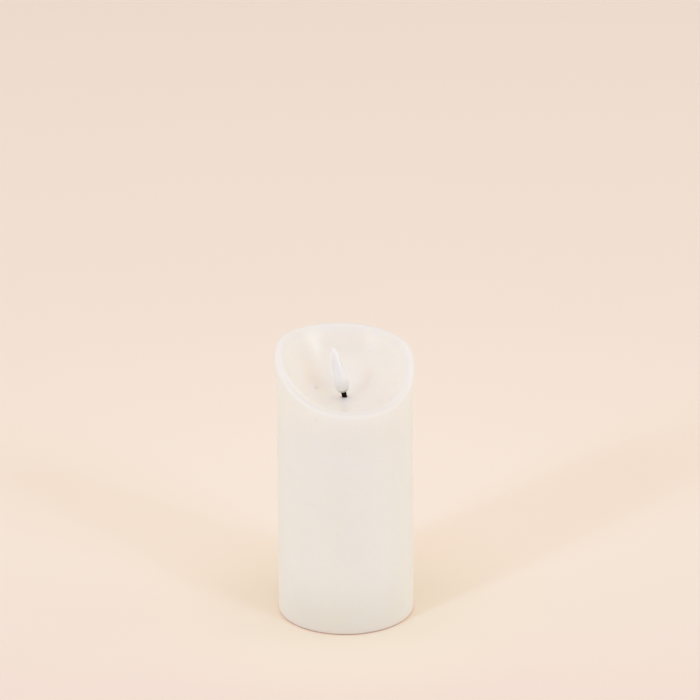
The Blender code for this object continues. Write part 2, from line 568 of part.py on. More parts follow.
# ---------------------------------------------------------------- screws
def pan_screw(name, place, head_r, head_h, shank_r, length, upwards):
    """A pan head at place with its shank along +Z (upwards 1) or -Z (-1), and a cross recess."""
    profile = ((0.0, 0.0), (head_r * 0.75, 0.0), (head_r * 0.96, -head_h * 0.4), (head_r, -head_h * 0.7), (head_r, -head_h), (shank_r, -head_h),
               (shank_r, 0.6 - head_h - length), (shank_r * 0.4, -head_h - length), (0.0, -head_h - length))
    obj = as_mesh(turned(name, profile, 16))
    for k, (a, b) in enumerate(((head_r * 0.62, head_r * 0.16), (head_r * 0.16, head_r * 0.62))):
        cut(obj, helper(box(f"{name}_recess_{k}", (-a, a), (-b, b), (-head_h * 0.55, 1.0))))
    if upwards > 0:
        flip = Matrix.Rotation(math.pi, 4, "X")
        obj.data.transform(flip)
        for change in obj.modifiers:
            change.object.data.transform(flip)
    shift = Matrix.Translation(Vector(place) * MM)
    obj.data.transform(shift)
    for change in obj.modifiers:
        change.object.data.transform(shift)
    return settle(keep(obj, STEEL))


for k, (x, y) in enumerate(PILLARS):
    pan_screw(f"housing_screw_{k + 1}", (x, y, 1.9), 2.45, 1.4, 1.0, 9.4, 1)
for k, (x, y) in enumerate(BOARD_POSTS):
    pan_screw(f"board_screw_{k + 1}", (x, y, 20.1), 1.9, 1.0, 0.85, 4.0, -1)
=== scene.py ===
"""The looks of the flameless LED candle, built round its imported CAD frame.

Lengths are in millimetres up to the point where a mesh is made, as in the CAD source whose dimensions they repeat.
"""

import math

import bmesh
import bpy
from mathutils import Matrix, Vector, noise


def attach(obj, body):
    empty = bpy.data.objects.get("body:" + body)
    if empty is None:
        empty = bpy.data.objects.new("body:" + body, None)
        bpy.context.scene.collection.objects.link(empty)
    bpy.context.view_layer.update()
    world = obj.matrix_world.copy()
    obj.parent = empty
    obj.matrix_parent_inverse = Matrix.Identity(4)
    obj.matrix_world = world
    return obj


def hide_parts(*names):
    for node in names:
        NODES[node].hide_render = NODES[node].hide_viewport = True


MM = 0.001
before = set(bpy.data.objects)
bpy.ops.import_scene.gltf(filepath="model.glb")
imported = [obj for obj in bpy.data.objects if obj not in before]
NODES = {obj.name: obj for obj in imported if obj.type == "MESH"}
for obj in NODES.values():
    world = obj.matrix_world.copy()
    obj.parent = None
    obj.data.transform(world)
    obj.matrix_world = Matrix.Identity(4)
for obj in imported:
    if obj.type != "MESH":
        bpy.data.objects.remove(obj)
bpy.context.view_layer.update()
scene = bpy.context.scene
scene.view_settings.view_transform = "Standard"
scene.view_settings.look = "None"

# =============================================================== camera, at the photograph's angle
CAMERA_DISTANCE = 3.5
CAMERA_ELEVATION = math.radians(24.0)
CAMERA_ROLL = math.radians(0.44)
PIXELS_PER_METRE = 1842.5            # at the middle of the candle, for a 700-pixel frame
AIM_PIXEL = (345.37, 481.29)         # where the middle of the candle falls in that frame


def make_camera():
    target = Vector((0.0, 0.0, 0.075))
    ahead = Vector((0.0, math.cos(CAMERA_ELEVATION), -math.sin(CAMERA_ELEVATION)))
    side = Vector((1.0, 0.0, 0.0))
    up = side.cross(ahead)
    focal = PIXELS_PER_METRE * CAMERA_DISTANCE
    side, up = side * math.cos(CAMERA_ROLL) - up * math.sin(CAMERA_ROLL), side * math.sin(CAMERA_ROLL) + up * math.cos(CAMERA_ROLL)
    off_x, off_y = AIM_PIXEL[0] - 350.0, 350.0 - AIM_PIXEL[1]
    axis = (ahead * focal - side * off_x - up * off_y).normalized()
    side = (side - axis * side.dot(axis)).normalized()
    up = side.cross(axis)
    data = bpy.data.cameras.new("camera")
    data.sensor_width = 36.0
    data.lens = focal * 36.0 / 700.0
    data.clip_start, data.clip_end = 0.1, 30.0
    camera = bpy.data.objects.new("camera", data)
    scene.collection.objects.link(camera)
    place = Matrix((side, up, -axis)).transposed().to_4x4()
    place.translation = target - ahead * CAMERA_DISTANCE
    camera.matrix_world = place
    scene.camera = camera


make_camera()


# =============================================================== small tools
def lin(r, g, b):
    """A display colour, 0 to 255, as linear light."""
    out = []
    for v in (r, g, b):
        v /= 255.0
        out.append(v / 12.92 if v <= 0.04045 else ((v + 0.055) / 1.055) ** 2.4)
    return (*out, 1.0)


def ease(t):
    t = min(max(t, 0.0), 1.0)
    return t * t * (3 - 2 * t)


def spline(values, t):
    """Catmull-Rom through equally spaced values, t from 0 to 1."""
    n = len(values) - 1
    place = min(max(t, 0.0), 1.0) * n
    i = min(int(place), n - 1)
    t = place - i
    a, b, c, d = (values[min(max(i + k, 0), n)] for k in (-1, 0, 1, 2))
    return 0.5 * (2 * b + (c - a) * t + (2 * a - 5 * b + 4 * c - d) * t * t + (3 * b - a - 3 * c + d) * t ** 3)


def wobble(x, y, z, size, seed=0.0):
    """Smooth noise from -1 to 1 with features about size millimetres across."""
    return noise.noise(Vector((x / size + seed, y / size + seed * 1.7, z / size - seed)))


def object_from(name, verts, faces):
    """A mesh object from millimetre points, with its faces pointing out."""
    mesh = bpy.data.meshes.new(name)
    mesh.from_pydata([tuple(c * MM for c in v) for v in verts], [], faces)
    mesh.validate()
    obj = bpy.data.objects.new(name, mesh)
    scene.collection.objects.link(obj)
    return obj


def outward(obj):
    bm = bmesh.new()
    bm.from_mesh(obj.data)
    bmesh.ops.recalc_face_normals(bm, faces=bm.faces)
    bm.to_mesh(obj.data)
    bm.free()
    return obj


def smooth(obj, degrees=40.0):
    obj.data.shade_smooth()
    obj.data.set_sharp_from_angle(angle=math.radians(degrees))
    return obj


def loft(name, rings, closed_section=True, cap_start=False, cap_end=False):
    """Quads between successive rings of equal length. The rings themselves close on each other round the object when closed_section is False."""
    count = len(rings[0])
    verts = [p for ring in rings for p in ring]
    faces = []
    spans = range(len(rings)) if closed_section else range(len(rings) - 1)
    for k in spans:
        a, b = k * count, ((k + 1) % len(rings)) * count
        for i in range(count):
            j = (i + 1) % count
            faces.append((a + i, a + j, b + j, b + i))
    if cap_start:
        faces.append(tuple(reversed(range(count))))
    if cap_end:
        faces.append(tuple(range((len(rings) - 1) * count, len(rings) * count)))
    return outward(object_from(name, verts, faces))


def turned(name, profile, steps, place=None, closed=False):
    """A profile of (radius, height) turned about Z. Points on the axis are shared."""
    verts, rows = [], []
    for r, z in profile:
        if r < 1e-6:
            rows.append([len(verts)])
            verts.append((0.0, 0.0, z))
        else:
            rows.append(list(range(len(verts), len(verts) + steps)))
            verts += [(r * math.cos(2 * math.pi * k / steps), r * math.sin(2 * math.pi * k / steps), z) for k in range(steps)]
    faces = []
    pairs = list(zip(rows, rows[1:])) + ([(rows[-1], rows[0])] if closed else [])
    for a, b in pairs:
        for k in range(steps):
            j = (k + 1) % steps
            if len(a) == 1 and len(b) == 1:
                continue
            if len(a) == 1:
                faces.append((a[0], b[k], b[j]))
            elif len(b) == 1:
                faces.append((a[k], b[0], a[j]))
            else:
                faces.append((a[k], b[k], b[j], a[j]))
    obj = outward(object_from(name, verts, faces))
    if place is not None:
        obj.data.transform(place)
    return obj


def attribute(obj, name, values):
    made = obj.data.attributes.new(name, "FLOAT", "POINT")
    made.data.foreach_set("value", values)


# =============================================================== materials
class Paint:
    """A node material with a few short ways to add texture to it."""

    def __init__(self, name, **sockets):
        self.material = bpy.data.materials.new(name)
        self.material.use_nodes = True
        self.tree = self.material.node_tree
        self.tree.nodes.clear()
        self.output = self.add("ShaderNodeOutputMaterial")
        self.shader = self.add("ShaderNodeBsdfPrincipled")
        self.tree.links.new(self.shader.outputs[0], self.output.inputs["Surface"])
        for key, value in sockets.items():
            self.shader.inputs[key.replace("_", " ")].default_value = value
        self.where = self.add("ShaderNodeTexCoord").outputs["Object"]

    def add(self, kind, **settings):
        node = self.tree.nodes.new(kind)
        for key, value in settings.items():
            setattr(node, key, value)
        return node

    def link(self, source, target):
        self.tree.links.new(source, target)

    def noise(self, scale, detail=3.0, roughness=0.5, stretch=None, distortion=0.0):
        node = self.add("ShaderNodeTexNoise")
        node.inputs["Scale"].default_value = scale
        node.inputs["Detail"].default_value = detail
        node.inputs["Roughness"].default_value = roughness
        node.inputs["Distortion"].default_value = distortion
        source = self.where
        if stretch:
            mapping = self.add("ShaderNodeMapping")
            mapping.inputs["Scale"].default_value = stretch
            self.link(self.where, mapping.inputs["Vector"])
            source = mapping.outputs[0]
        self.link(source, node.inputs["Vector"])
        return node.outputs["Fac"]

    def cells(self, scale, feature="F1"):
        node = self.add("ShaderNodeTexVoronoi", feature=feature)
        node.inputs["Scale"].default_value = scale
        self.link(self.where, node.inputs["Vector"])
        return node.outputs["Distance"]

    def waves(self, scale, direction="Z", distortion=0.0):
        node = self.add("ShaderNodeTexWave", wave_type="BANDS", bands_direction=direction)
        node.inputs["Scale"].default_value = scale
        node.inputs["Distortion"].default_value = distortion
        self.link(self.where, node.inputs["Vector"])
        return node.outputs["Fac"]

    def painted(self, name):
        return self.add("ShaderNodeAttribute", attribute_name=name).outputs["Fac"]

    def range(self, source, low, high, out_low, out_high):
        node = self.add("ShaderNodeMapRange")
        self.link(source, node.inputs[0])
        for k, value in enumerate((low, high, out_low, out_high)):
            node.inputs[k + 1].default_value = value
        return node.outputs[0]

    def math(self, operation, a, b):
        node = self.add("ShaderNodeMath", operation=operation)
        for k, value in enumerate((a, b)):
            if isinstance(value, (int, float)):
                node.inputs[k].default_value = value
            else:
                self.link(value, node.inputs[k])
        return node.outputs[0]

    def ramp(self, source, *stops):
        node = self.add("ShaderNodeValToRGB")
        elements = node.color_ramp.elements
        while len(elements) < len(stops):
            elements.new(0.5)
        for element, (place, colour) in zip(elements, stops):
            element.position = place
            element.color = colour
        self.link(source, node.inputs[0])
        return node.outputs[0]

    def mix(self, factor, a, b):
        node = self.add("ShaderNodeMix", data_type="RGBA")
        if isinstance(factor, (int, float)):
            node.inputs[0].default_value = factor
        else:
            self.link(factor, node.inputs[0])
        for k, value in ((6, a), (7, b)):
            if isinstance(value, tuple):
                node.inputs[k].default_value = value
            else:
                self.link(value, node.inputs[k])
        return node.outputs[2]

    def spot(self, point, radius, ragged=0.6):
        """1 in a small blotch round this point, both in millimetres, falling to 0 at its ragged edge."""
        node = self.add("ShaderNodeVectorMath", operation="DISTANCE")
        self.link(self.where, node.inputs[0])
        node.inputs[1].default_value = tuple(c * MM for c in point)
        edge = self.range(self.noise(1100.0 / radius, 2.0), 0.25, 0.75, -ragged * radius * MM, ragged * radius * MM)
        return self.range(self.math("ADD", node.outputs["Value"], edge), radius * 0.45 * MM, radius * MM, 1.0, 0.0)

    def colour(self, source):
        self.link(source, self.shader.inputs["Base Color"])

    def roughness(self, source):
        self.link(source, self.shader.inputs["Roughness"])

    def bump(self, height, distance, strength=1.0, after=None):
        """Height from 0 to 1 as relief of this many millimetres."""
        node = self.add("ShaderNodeBump")
        node.inputs["Strength"].default_value = strength
        node.inputs["Distance"].default_value = distance * MM
        self.link(height, node.inputs["Height"])
        if after is not None:
            self.link(after, node.inputs["Normal"])
        self.link(node.outputs[0], self.shader.inputs["Normal"])
        return node.outputs[0]


BLEMISHES = (    # where, radius and strength of the small brown pits and specks in the wax
    ((-15.5, 8.9, 126.7), 1.5, 0.11), ((-29.8, -13.8, 143.8), 0.9, 0.10), ((14.2, 26.9, 144.1), 0.6, 0.10),
    ((13.9, 25.6, 140.8), 0.6, 0.09), ((-15.2, -34.6, 126.4), 0.9, 0.07), ((2.1, -36.8, 110.3), 0.5, 0.10),
    ((0.3, -36.8, 92.7), 0.5, 0.09), ((-6.0, -36.3, 100.2), 0.45, 0.09), ((-4.2, -36.5, 59.7), 0.6, 0.08),
    ((-21.9, -29.6, 74.9), 0.8, 0.04), ((-19.4, -31.3, 75.1), 0.9, 0.05), ((-16.6, -32.9, 75.4), 0.8, 0.04),
    ((-9.4, -6.9, 124.0), 1.6, 0.05), ((27.0, 4.0, 136.0), 1.2, 0.03), ((19.0, -8.0, 126.5), 1.6, 0.03),
)


def wax_paint():
    """Pale wax: cloudy and a little chalky on the wall, cleaner, glossier and more glowing where it was melted, with
    painted light and painted shade mixed into its colour.
    """
    p = Paint("wax_ivory", Subsurface_Scale=0.010, IOR=1.44)
    p.shader.inputs["Subsurface Radius"].default_value = (1.0, 0.78, 0.55)
    melted = p.painted("melted")
    p.link(p.range(melted, 0.0, 1.0, 0.22, 0.42), p.shader.inputs["Subsurface Weight"])
    clouds = p.noise(30.0, 3.0, 0.55, distortion=0.4)
    wall = p.ramp(clouds, (0.35, (0.966, 0.965, 0.861, 1.0)), (0.65, (0.961, 0.959, 0.850, 1.0)))
    # The rim cap (melted 0.5) is given a darker colour than the wall and the bowl: painted shade on the upward-facing
    # cap, which takes the most light.
    bowl = p.ramp(melted, (0.5, (0.893, 0.890, 0.828, 1.0)), (0.8, (0.950, 0.920, 0.832, 1.0)))
    base = p.mix(p.range(melted, 0.0, 0.5, 0.0, 1.0), wall, bowl)
    # Painted shade: darkens the rim cap, most on the front of its outer round, and the bowl floor, most round the wick
    # under the flame.
    base = p.mix(p.painted("shade"), base, (0.50, 0.48, 0.41, 1.0))
    # Painted light: a yellower tone on the lower front left of the wall, against the blue key light that falls there.
    base = p.mix(p.painted("painted_yellow_light"), base, (0.965, 0.955, 0.700, 1.0))
    grain = p.noise(620.0, 4.0, 0.6)
    base = p.mix(p.range(grain, 0.40, 0.60, 0.0, 0.12), base, (0.905, 0.885, 0.82, 1.0))
    # Browning and painted light: on the wall, darker and browner towards the floor as painted shade; in the bowl,
    # browner low down, with painted shadows of the flame beside it and painted yellowing of the back against the blue
    # key light.
    base = p.mix(p.painted("browning_and_painted_light"), base, lin(150, 112, 78))
    # Painted light: a pink glow low on the wall, standing in for light bounced up from the floor.
    base = p.mix(p.painted("painted_floor_bounce"), base, (1.0, 0.83, 0.75, 1.0))
    # Painted shade: darker brown in the crease round the wick's foot.
    painted_foot_shade = p.math("MULTIPLY", p.spot((-0.2, -2.0, 125.0), 1.9, 0.3), 0.18)
    base = p.mix(painted_foot_shade, base, lin(126, 70, 38))
    for point, radius, strength in BLEMISHES:
        base = p.mix(p.math("MULTIPLY", p.spot(point, radius), strength), base, lin(104, 74, 46))
    p.colour(base)
    rough = p.range(p.noise(90.0, 4.0, 0.6), 0.3, 0.7, 0.46, 0.56)
    p.roughness(p.math("SUBTRACT", rough, p.math("MULTIPLY", melted, 0.17)))
    first = p.bump(p.noise(170.0, 3.0, 0.5), 0.05)
    p.bump(p.noise(900.0, 3.0, 0.55), 0.02, after=first)
    return p.material


def flame_paint():
    p = Paint("flame_frosted", Subsurface_Weight=0.35, Subsurface_Scale=0.0010, IOR=1.46)
    p.shader.inputs["Subsurface Radius"].default_value = (1.0, 0.95, 0.9)
    haze = p.ramp(p.noise(120.0, 3.0, 0.5), (0.3, (0.952, 0.945, 0.895, 1.0)), (0.7, (0.944, 0.938, 0.888, 1.0)))
    # Its colour turns grey at the painted foot shade.
    p.colour(p.mix(p.painted("painted_foot_shade"), haze, lin(92, 84, 80)))
    p.roughness(p.range(p.noise(420.0, 3.0), 0.3, 0.7, 0.28, 0.42))
    p.bump(p.noise(1500.0, 3.0), 0.012)
    return p.material


def wick_paint():
    p = Paint("wick_black", Specular_IOR_Level=0.05)
    strands = p.waves(700.0, "DIAGONAL", 1.5)
    p.colour(p.ramp(strands, (0.2, lin(20, 10, 4)), (0.8, lin(38, 22, 10))))
    p.roughness(p.range(strands, 0.0, 1.0, 0.7, 0.9))
    p.bump(strands, 0.06)
    return p.material


def plastic_paint(name, light, dark, rough=(0.36, 0.5), grain=0.03):
    """Moulded plastic with a fine spark-eroded grain and slight flow clouds."""
    p = Paint(name, IOR=1.5)
    p.colour(p.ramp(p.noise(55.0, 3.0, 0.55), (0.3, light), (0.7, dark)))
    p.roughness(p.range(p.noise(240.0, 3.0), 0.3, 0.7, *rough))
    p.bump(p.noise(2600.0, 2.0, 0.6), grain)
    return p.material


def metal_paint(name, light, dark, rough=(0.29, 0.4), stretch=(1.0, 1.0, 9.0)):
    """Rolled or plated metal with drawn streaks."""
    p = Paint(name, Metallic=1.0)
    streaks = p.noise(700.0, 4.0, 0.6, stretch=stretch)
    p.colour(p.ramp(streaks, (0.3, light), (0.7, dark)))
    p.roughness(p.range(streaks, 0.3, 0.7, *rough))
    p.bump(streaks, 0.004)
    return p.material


def board_paint():
    p = Paint("board_mask", IOR=1.5)
    mask = p.ramp(p.noise(90.0, 2.0), (0.3, lin(34, 110, 66)), (0.7, lin(28, 98, 58)))
    tracks = p.range(p.cells(260.0, "DISTANCE_TO_EDGE"), 0.02, 0.06, 1.0, 0.0)
    p.colour(p.mix(tracks, mask, lin(52, 134, 84)))
    p.roughness(p.range(p.noise(400.0), 0.3, 0.7, 0.3, 0.42))
    p.bump(tracks, 0.035)
    return p.material


def cell_paint():
    """A plain metallic jacket, dark, under a clear coat."""
    p = Paint("cell_jacket", Metallic=0.35, IOR=1.5)
    p.shader.inputs["Coat Weight"].default_value = 0.5
    p.shader.inputs["Coat Roughness"].default_value = 0.15
    p.colour(p.ramp(p.noise(70.0, 2.0), (0.3, lin(92, 104, 116)), (0.7, lin(80, 92, 106))))
    p.roughness(p.range(p.noise(600.0), 0.3, 0.7, 0.28, 0.4))
    p.bump(p.noise(900.0), 0.01)
    return p.material


WAX = wax_paint()
FLAME = flame_paint()
WICK = wick_paint()
SHELL = plastic_paint("shell_ivory", lin(236, 231, 219), lin(232, 227, 214))
WHITE = plastic_paint("plastic_white", lin(240, 240, 237), lin(234, 235, 233))
BLACK = plastic_paint("plastic_black", lin(30, 30, 31), lin(38, 38, 40), (0.35, 0.5), 0.02)
CHIP = plastic_paint("chip_black", lin(38, 38, 41), lin(46, 46, 49), (0.5, 0.65), 0.03)
CAPACITOR = plastic_paint("capacitor_sleeve", lin(40, 48, 78), lin(34, 42, 70), (0.28, 0.36), 0.01)
RESISTOR = plastic_paint("resistor_lacquer", lin(205, 183, 140), lin(196, 172, 130), (0.35, 0.45), 0.02)
EMITTER = plastic_paint("emitter_phosphor", lin(236, 214, 120), lin(228, 202, 104), (0.28, 0.36), 0.01)
TINPLATE = metal_paint("tinplate", lin(196, 196, 192), lin(176, 176, 173))
CONTACT = metal_paint("nickel_contact", lin(208, 205, 198), lin(188, 185, 178), (0.28, 0.36))
SCREW = metal_paint("screw_zinc", lin(190, 190, 190), lin(166, 167, 169), (0.28, 0.38))
BOARD = board_paint()
CELL = cell_paint()
WIRE_RED = plastic_paint("wire_red", lin(190, 40, 30), lin(176, 34, 26), (0.35, 0.45), 0.02)
WIRE_BLACK = plastic_paint("wire_black", lin(28, 28, 29), lin(36, 36, 38), (0.35, 0.45), 0.02)

DRESS = {
    "wax_body": WAX, "flame_cap": FLAME, "wick_sleeve": WICK, "led_strip": BOARD, "led_lower": EMITTER, "led_upper": EMITTER,
    "led_wire_red": WIRE_RED, "led_wire_black": WIRE_BLACK, "stem_tube": WHITE, "housing_cover": WHITE, "base_housing": SHELL,
    "battery_door": SHELL, "switch_knob": BLACK, "switch_body": TINPLATE, "circuit_board": BOARD, "flicker_chip": CHIP,
    "capacitor": CAPACITOR, "resistor": RESISTOR, "timer_crystal": TINPLATE, "positive_plate": CONTACT, "negative_plate": CONTACT,
    "bridge_plate": CONTACT, "negative_spring": CONTACT, "bridge_spring": CONTACT, "battery_front": CELL, "battery_back": CELL,
    "battery_wire_red": WIRE_RED, "battery_wire_black": WIRE_BLACK, "switch_wire": WIRE_RED,
    "housing_screw_1": SCREW, "housing_screw_2": SCREW, "housing_screw_3": SCREW, "board_screw_1": SCREW, "board_screw_2": SCREW,
}
for node_name, paint in DRESS.items():
    node = NODES[node_name]
    node.data.materials.clear()
    node.data.materials.append(paint)

# =============================================================== wax pillar
BODY_R, LIP_FLARE, LIP_SPAN = 36.9, 1.05, 24.0
RIM_CREST = (144.7, 151.0, 151.9, 152.8, 153.6, 154.2, 154.9, 155.0,
             151.6, 145.3, 138.3, 133.3, 130.6, 130.3, 132.0, 137.1)
RIM_WIDTH = (5.0, 5.0, 5.0, 5.0, 5.0, 5.0, 5.0, 5.0,
             5.0, 5.6, 6.6, 7.2, 7.4, 7.2, 6.6, 5.6)
BOWL_FLOOR, BOWL_POWER = 124.0, 4.0
MOUND = 1.2
WICK_HOLE_R = 1.9
CAVITY_ROOF, CAVITY_R_TOP, CAVITY_R = 117.4, 31.8, 33.0
SEAT_R, SEAT_TOP, FOOT_BOTTOM, FOOT_ROUND = 34.9, 1.9, 0.25, 1.1
WICK_HUG_R = 1.5       # the wax closes in on the wick at the top of its hole


def around(values, angle):
    """Value at this angle, by a periodic Catmull-Rom curve through values given at equal steps from +X."""
    n = len(values)
    place = (angle % (2 * math.pi)) / (2 * math.pi) * n
    i, t = int(place) % n, place - int(place)
    a, b, c, d = (values[(i + k) % n] for k in (-1, 0, 1, 2))
    return 0.5 * (2 * b + (c - a) * t + (2 * a - 5 * b + 4 * c - d) * t * t + (3 * b - a - 3 * c + d) * t ** 3)


def bowl_height(r, x, y, edge_r, edge_z):
    """Height of the melted-out bowl: soft lumps, a shallow dish and the mound of wax that meets the wick."""
    z = BOWL_FLOOR + (edge_z - BOWL_FLOOR) * (r / edge_r) ** BOWL_POWER
    calm = 1.0 - ease((r / edge_r - 0.55) / 0.5)
    z += (0.24 * wobble(x, y, 0.0, 13.0, 3.1) + 0.10 * wobble(x, y, 0.0, 5.5, 8.7)) * (0.35 + 0.65 * calm) * ease((r - 2.0) / 4.0)
    z += MOUND * ease((4.6 - r) / 3.0) - 0.3 * math.exp(-((r - 8.0) / 3.0) ** 2)
    z += 0.07 * math.sin(2 * math.pi * r / 2.3) * math.exp(-((x / 5.0) ** 2) - ((y + 6.5) / 3.0) ** 2)
    z -= 0.5 * math.exp(-((x + 15.5) ** 2 + (y - 8.9) ** 2) / 0.9)
    return z


def wax_section(angle):
    """Fine section of the wax at this angle: (radius, height, melted) up the outside, over the lip and down the inside."""
    crest, width = around(RIM_CREST, angle), around(RIM_WIDTH, angle)
    c, s = math.cos(angle), math.sin(angle)
    crest += 0.30 * wobble(36 * c, 36 * s, 0.0, 17.0, 5.0) - 0.22
    section = []
    for k in range(8):
        t = math.radians(-90 + 90 * k / 7)
        section.append((BODY_R - FOOT_ROUND * (1 - math.cos(t)), FOOT_BOTTOM + FOOT_ROUND * (1 + math.sin(t)), 0.0))
    low = crest - LIP_SPAN
    for k in range(1, 49):
        section.append((BODY_R, 2.3 + (low - 2.3) * k / 48, 0.0))
    for k in range(1, 15):
        z = low + (LIP_SPAN - 2.6) * k / 14
        section.append((BODY_R + LIP_FLARE * ease((z - low) / (LIP_SPAN - 3.0)), z, 0.0))
    section = [(r - 0.05 - 0.035 * (1 + wobble(r * c, r * s, z, 21.0, 1.3)) - 0.015 * (1 + wobble(r * c, r * s, z, 7.0, 2.9)), z, m)
               for r, z, m in section]
    lip = BODY_R + LIP_FLARE - 0.05 - 0.05 * (1 + wobble(36 * c, 36 * s, 0.0, 15.0, 6.6))
    edge_r, edge_z = lip - width, crest - 1.1
    shoulder = 0.46 * width

    def bowl(inward):
        r = lip - inward
        return bowl_height(r, r * c, r * s, edge_r, edge_z)

    first, last = width - 1.7, width + 2.2       # between these the cap bends over into the bowl
    fall = 2.2 * (first - shoulder) / (width - shoulder) ** 2
    span = last - first
    ends = (crest - 0.5 * fall * (first - shoulder), bowl(last), -fall * span, (bowl(last + 0.2) - bowl(last)) / 0.2 * span)

    def surface(r):
        inward = lip - r
        if inward < shoulder:
            return crest - 2.5 * (1 - math.sqrt(max(0.0, 1 - (1 - inward / shoulder) ** 2)))
        if inward < first:
            return crest - 1.1 * ((inward - shoulder) / (width - shoulder)) ** 2
        if inward > last:
            return bowl(inward)
        t = (inward - first) / span
        a, b, da, db = ends
        return a * (1 + 2 * t) * (1 - t) ** 2 + b * t * t * (3 - 2 * t) + da * t * (1 - t) ** 2 + db * t * t * (t - 1)

    for k in range(13):
        r = lip - shoulder * (1 - math.cos(math.pi / 2 * k / 12))
        section.append((r, surface(r), 0.5 * k / 12))
    start = lip - shoulder
    foot = WICK_HUG_R + 0.45
    inner = lip - width - 3.2
    steps = [start + (inner - start) * k / 24 for k in range(1, 25)] + [inner + (foot - inner) * k / 52 for k in range(1, 53)]
    for r in steps:
        section.append((r, surface(r), 0.5 + 0.5 * ease((start - r) / (start - foot) * 5)))
    top = section[-1][1]
    section += [(WICK_HUG_R + 0.12, top - 0.04, 1.0), (WICK_HUG_R, top - 0.3, 1.0), (WICK_HOLE_R, top - 1.8, 0.0), (WICK_HOLE_R, CAVITY_ROOF, 0.0),
                (12.0, CAVITY_ROOF, 0.0), (CAVITY_R_TOP - 2.0, CAVITY_ROOF, 0.0), (CAVITY_R_TOP - 0.6, CAVITY_ROOF - 0.6, 0.0),
                (CAVITY_R_TOP, CAVITY_ROOF - 2.0, 0.0), (32.2, 90.0, 0.0), (32.6, 60.0, 0.0), (CAVITY_R, 30.0, 0.0), (CAVITY_R, SEAT_TOP, 0.0),
                (SEAT_R, SEAT_TOP, 0.0), (SEAT_R, FOOT_BOTTOM, 0.0)]
    return section


def make_wax():
    segments = 288
    rings, melted = [], []
    for k in range(segments):
        angle = 2 * math.pi * k / segments
        section = wax_section(angle)
        rings.append([(r * math.cos(angle), r * math.sin(angle), z) for r, z, m in section])
        melted += [m for r, z, m in section]
    obj = loft("wax_pillar", rings)
    attribute(obj, "melted", melted)
    browning_and_painted_light, shade, painted_yellow_light, painted_floor_bounce = [], [], [], []
    for v, m in zip(obj.data.vertices, melted):
        x, y, z = (c / MM for c in v.co)
        r = math.hypot(x, y)
        front = ease(-y / max(r, 1.0))
        lip = ease(m / 0.5) if m <= 0.5 else 1.0 - ease((m - 0.5) / 0.4)
        outer = ease(m / 0.35) if m <= 0.35 else 1.0 - ease((m - 0.35) / 0.2)
        floor = ease((128.0 - z) / 6.0) if m >= 0.9 else 0.0
        inside = ease((m - 0.5) / 0.45)
        # Painted light: pink glow over the lowest 6.5 mm of the wall, for light bounced from the floor.
        painted_floor_bounce.append(0.32 * ease((6.5 - z) / 6.5) if m == 0.0 else 0.0)
        # Painted light: yellower on the lower front left of the wall, against the blue key light there.
        painted_yellow_light.append(0.20 * front * math.exp(-((x + 8.0) / 12.0) ** 2) * ease((110.0 - z) / 30.0) if m == 0.0 else 0.0)
        # Painted shade: a little over the rim cap, more on the front of its outer round, on the bowl floor and round
        # the wick under the flame.
        shade.append(0.03 * lip + 0.19 * front * outer + 0.04 * floor + 0.08 * ease((9.0 - r) / 7.0) * (m >= 0.9))
        # In the bowl: browner low down; painted light yellowing the back wall, the back rim and a spot behind the flame
        # against the blue key light; two patches beside the flame are its painted shadows, since the flame casts none.
        bowl_browning_and_painted_light = 0.027 * inside * ease((27.0 - r) / 16.0) + 0.05 * inside * ease((y / max(r, 1.0) - 0.3) / 0.7) * ease((z - 132.0) / 10.0)
        bowl_browning_and_painted_light += inside * (0.055 * math.exp(-((x + 14.0) ** 2 + (y - 13.0) ** 2) / 70.0) + 0.045 * math.exp(-((x - 10.0) ** 2 + (y - 13.0) ** 2) / 60.0)
                          + 0.022 * math.exp(-((x - 9.0) ** 2 + (y - 25.0) ** 2) / 45.0))
        bowl_browning_and_painted_light += 0.035 * lip * ease((y / max(r, 1.0) - 0.2) / 0.8)
        # Bowl vertices take the sum above. On the wall: painted shade, darker and browner towards the floor, a little
        # more on the left and fading at the sides.
        browning_and_painted_light.append(bowl_browning_and_painted_light if m > 0.0 else 0.15 * ease((42.0 - z) / 42.0) ** 1.2 * (1.0 - 0.15 * x / 37.0) * (1.0 - 0.9 * min(1.0, abs(x / 37.0)) ** 4))
    attribute(obj, "browning_and_painted_light", browning_and_painted_light)
    attribute(obj, "shade", shade)
    attribute(obj, "painted_yellow_light", painted_yellow_light)
    attribute(obj, "painted_floor_bounce", painted_floor_bounce)
    smooth(obj, 45)
    obj.data.materials.append(WAX)
    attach(obj, "candle")
    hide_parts("wax_body")
    return obj


make_wax()

# =============================================================== flame
LEAN = math.radians(12.3)
LEAN_START = Vector((0.0, 0.0, 124.9))
FLAME_UP = Vector((-math.sin(LEAN), 0.0, math.cos(LEAN)))
FLAME_OFFSET = 3.4
FLAME_PLACE = Matrix.Translation((LEAN_START + FLAME_UP * FLAME_OFFSET) * MM) @ Matrix.Rotation(-LEAN, 4, "Y")
FLAME_OUTSIDE = ((0.0, 25.8), (0.6, 25.62), (1.1, 25.15), (1.55, 24.3), (2.05, 22.4), (2.5, 19.6), (2.97, 16.2),
                 (3.42, 12.6), (3.77, 9.4), (3.96, 6.6), (3.92, 4.6), (3.62, 2.6), (3.07, 1.1), (2.5, 0.35), (2.1, 0.0))
FLAME_INSIDE = ((1.67, 0.0), (1.67, 1.9), (2.5, 2.4), (3.05, 4.0), (3.2, 6.5), (3.0, 10.0), (2.4, 15.0), (1.7, 20.0), (0.85, 23.4), (0.0, 24.6))


